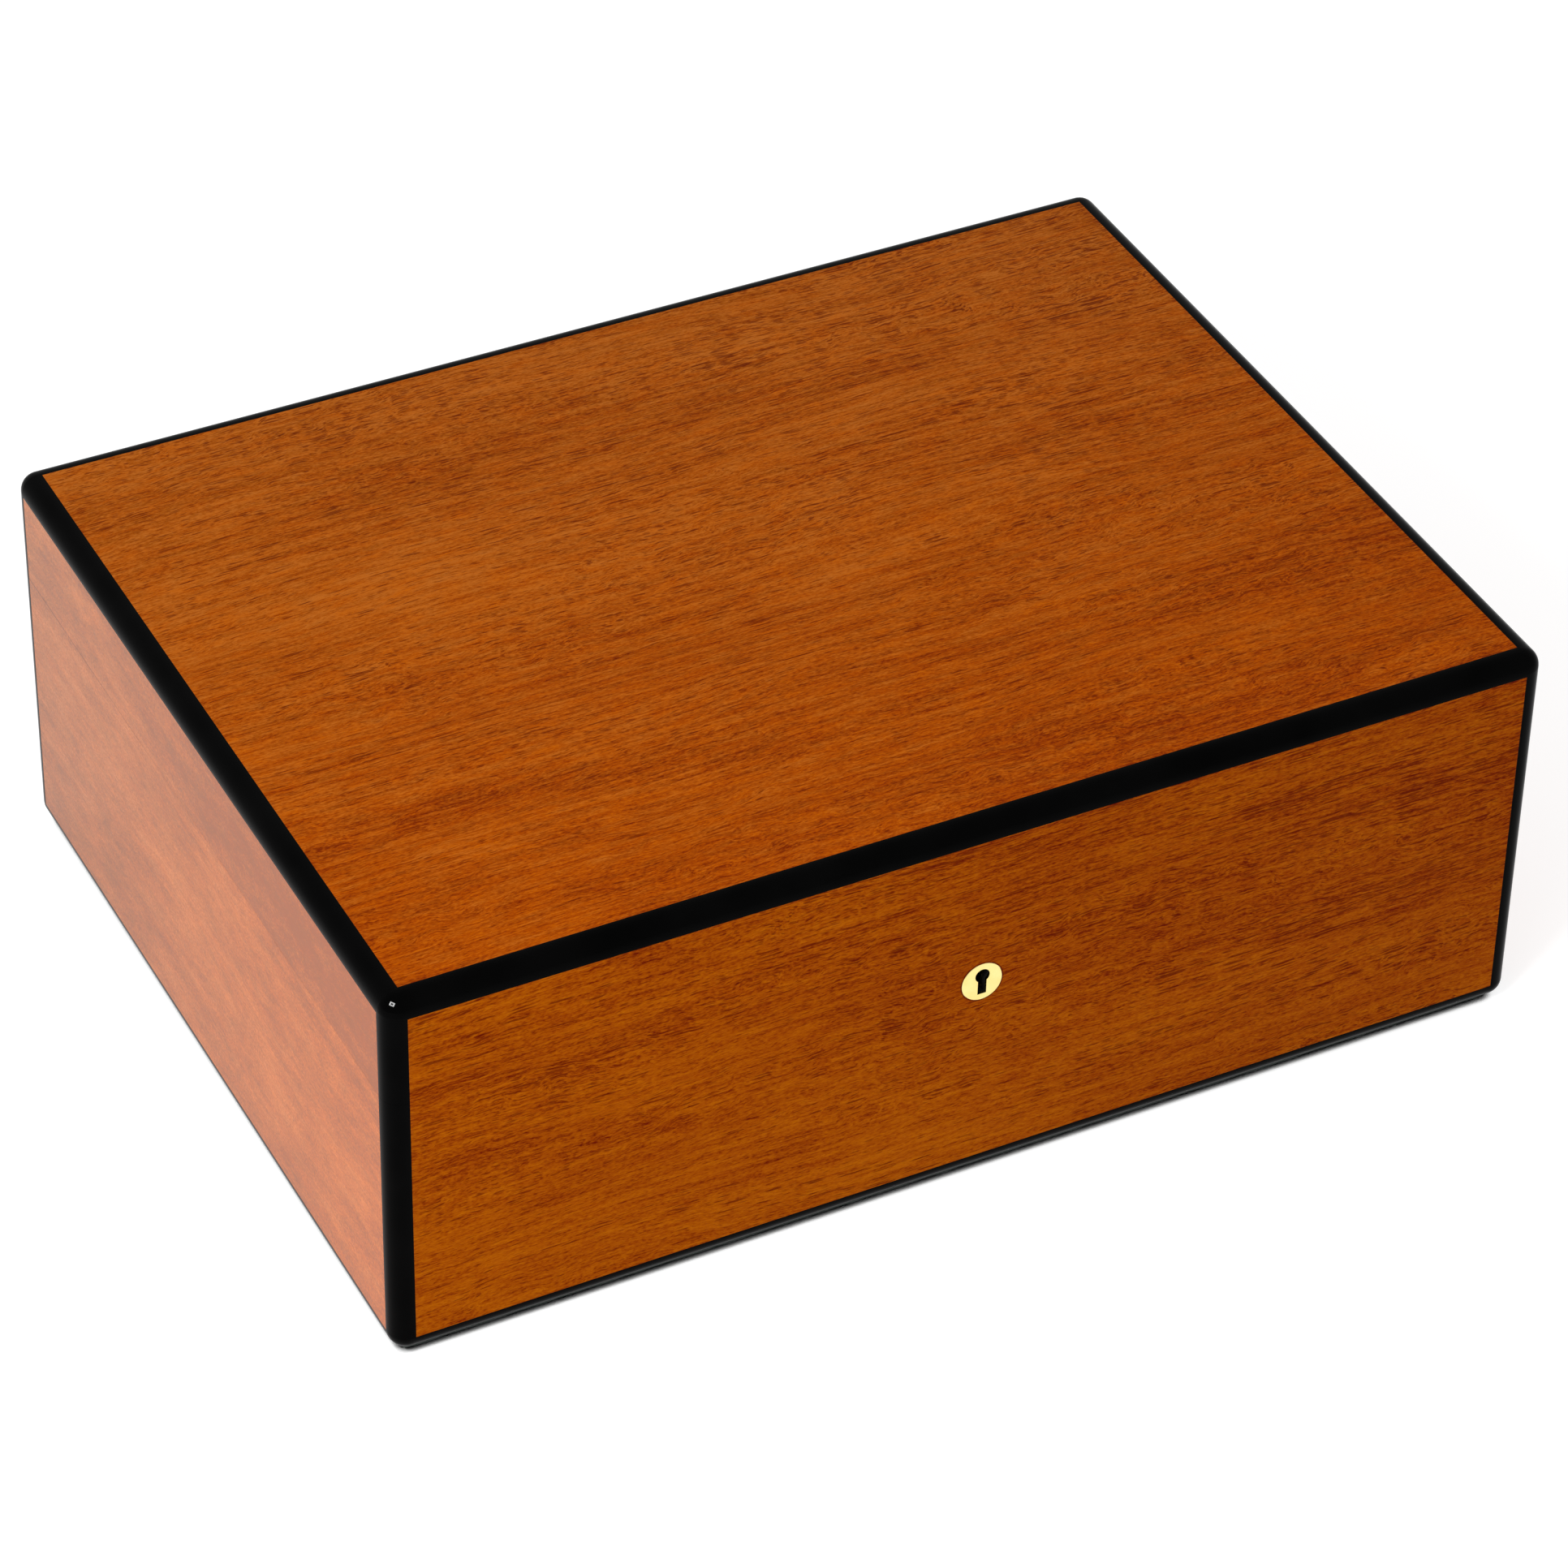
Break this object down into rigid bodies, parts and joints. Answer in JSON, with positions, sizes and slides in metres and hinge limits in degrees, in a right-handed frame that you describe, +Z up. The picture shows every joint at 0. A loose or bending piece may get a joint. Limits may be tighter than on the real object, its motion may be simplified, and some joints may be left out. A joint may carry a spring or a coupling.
{
  "type": "humidor",
  "caption": "Rectangular desktop humidor: veneered panels framed by rounded black edging, a hinged lid with a keyhole lock, and a cedar-lined inside with a lift-out tray.",
  "frame": {"origin": "centre of the felt underside, on the surface the box stands on", "axes": "+Z up, -Y towards the front with the keyhole, +X to the right as seen from the front"},
  "size_m": [0.34, 0.2591, 0.1214],
  "materials": {
    "veneer": "reddish brown mahogany veneer under clear gloss lacquer",
    "black_lacquer": "solid wood edging in polished black lacquer",
    "core_wood": "bare sanded core board",
    "cedar": "unfinished planed cedar",
    "felt": "short dark felt",
    "brass": "polished brass",
    "black_plastic": "fine matt moulded plastic",
    "steel": "bare steel strip",
    "foam": "open water-holding foam",
    "dial_face": "matt off-white paint",
    "glass": "clear flat glass",
    "black_enamel": "black enamel"
  },
  "bodies": {
    "base": {"base_front_wall": "core_wood", "base_front_veneer": "veneer", "base_front_lining": "cedar", "base_back_wall": "core_wood", "base_back_veneer": "veneer", "base_back_lining": "cedar", "base_left_wall": "core_wood", "base_left_veneer": "veneer", "base_left_lining": "cedar", "base_right_wall": "core_wood", "base_right_veneer": "veneer", "base_right_lining": "cedar", "base_floor_panel": "core_wood", "base_corner_edging": "black_lacquer", "base_bottom_edging": "black_lacquer", "base_felt": "felt", "base_floor_lining": "cedar", "tray_cleats": "cedar", "lock_case": "brass", "lock_face_plate": "brass", "escutcheon": "brass", "left_hinge_base_leaf": "brass", "right_hinge_base_leaf": "brass", "hinge_pins": "brass", "base_screws": "brass"},
    "lid": {"lid_front_wall": "core_wood", "lid_front_veneer": "veneer", "lid_back_wall": "core_wood", "lid_back_veneer": "veneer", "lid_left_wall": "core_wood", "lid_left_veneer": "veneer", "lid_right_wall": "core_wood", "lid_right_veneer": "veneer", "lid_front_lining": "cedar", "lid_back_lining": "cedar", "lid_side_linings": "cedar", "lid_top_panel": "core_wood", "lid_top_veneer": "veneer", "lid_corner_edging": "black_lacquer", "lid_top_edging": "black_lacquer", "lid_ceiling_lining": "cedar", "lock_link_plate": "brass", "left_hinge_lid_leaf": "brass", "right_hinge_lid_leaf": "brass", "lid_screws": "brass", "humidifier_case": "black_plastic", "humidifier_grille": "black_plastic", "humidifier_foam": "foam", "humidifier_strip": "steel", "hygrometer_case": "brass", "hygrometer_dial": "dial_face", "hygrometer_glass": "glass", "hygrometer_movement": "brass"},
    "lock_bolt": {"lock_bolt": "brass"},
    "tray": {"tray_long_walls": "cedar", "tray_end_walls": "cedar", "tray_slats": "cedar"},
    "tray_divider": {"tray_divider": "cedar"},
    "base_divider": {"base_divider": "cedar"},
    "hygrometer_needle": {"hygrometer_needle": "black_enamel"}
  },
  "joints": [
    {"name": "lid_hinge", "type": "hinge", "parent": "base", "child": "lid", "pos_m": [0, 0.1285, 0.08783], "axis": [-1, 0, 0], "range_deg": [0, 95]},
    {"name": "lock_bolt_slide", "type": "slide", "parent": "base", "child": "lock_bolt", "axis": [1, 0, 0], "range_m": [0, 0.0045]},
    {"name": "tray_lift", "type": "slide", "parent": "base", "child": "tray", "axis": [0, 0, 1], "range_m": [0, 0.0116]},
    {"name": "tray_divider_slide", "type": "slide", "parent": "tray", "child": "tray_divider", "axis": [1, 0, 0], "range_m": [-0.181, 0.113]},
    {"name": "base_divider_slide", "type": "slide", "parent": "base", "child": "base_divider", "axis": [1, 0, 0], "range_m": [-0.1175, 0.1775]},
    {"name": "hygrometer_needle_turn", "type": "hinge", "parent": "lid", "child": "hygrometer_needle", "pos_m": [0.082, 0, 0.101], "axis": [0, 0, 1], "range_deg": [-189, 81]}
  ]
}
